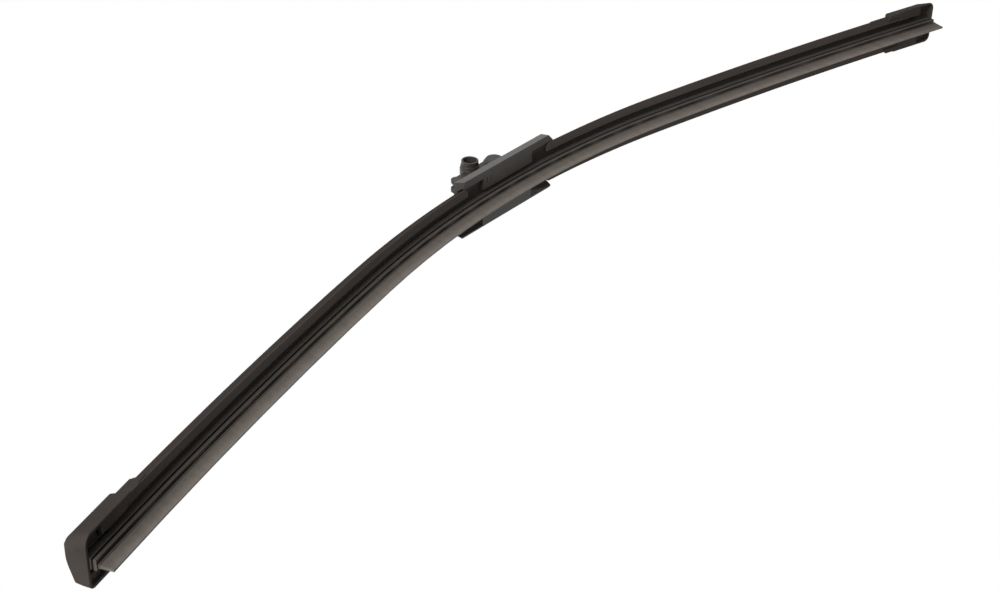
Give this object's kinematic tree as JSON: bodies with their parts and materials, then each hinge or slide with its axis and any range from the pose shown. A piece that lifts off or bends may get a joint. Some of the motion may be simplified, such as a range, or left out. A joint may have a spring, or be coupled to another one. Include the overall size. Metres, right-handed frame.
{
  "type": "wiper blade",
  "caption": "Curved flat wiper blade: rubber wiping strip on spring rails under a low spoiler, with end caps and a centre bracket that pivots on the wiper arm's side pin.",
  "frame": {"origin": "middle of the bearing hub on the centre bracket, on the axis of the wiper arm's pin", "axes": "+X along the blade, +Y across it along the pin, +Z away from the glass, towards the arm"},
  "size_m": [0.4698, 0.0218, 0.0733],
  "materials": {
    "rubber": "matt wiping rubber",
    "rail": "black painted spring steel",
    "spoiler": "extruded black plastic, satin",
    "cap": "moulded black plastic, fine grain",
    "bracket": "moulded black plastic, fine grain"
  },
  "bodies": {
    "root": {"wiper_rubber": "rubber", "rail_front": "rail", "rail_rear": "rail", "spoiler_left": "spoiler", "spoiler_right": "spoiler", "end_cap_left": "cap", "end_cap_right": "cap", "bracket": "bracket"}
  },
  "joints": []
}
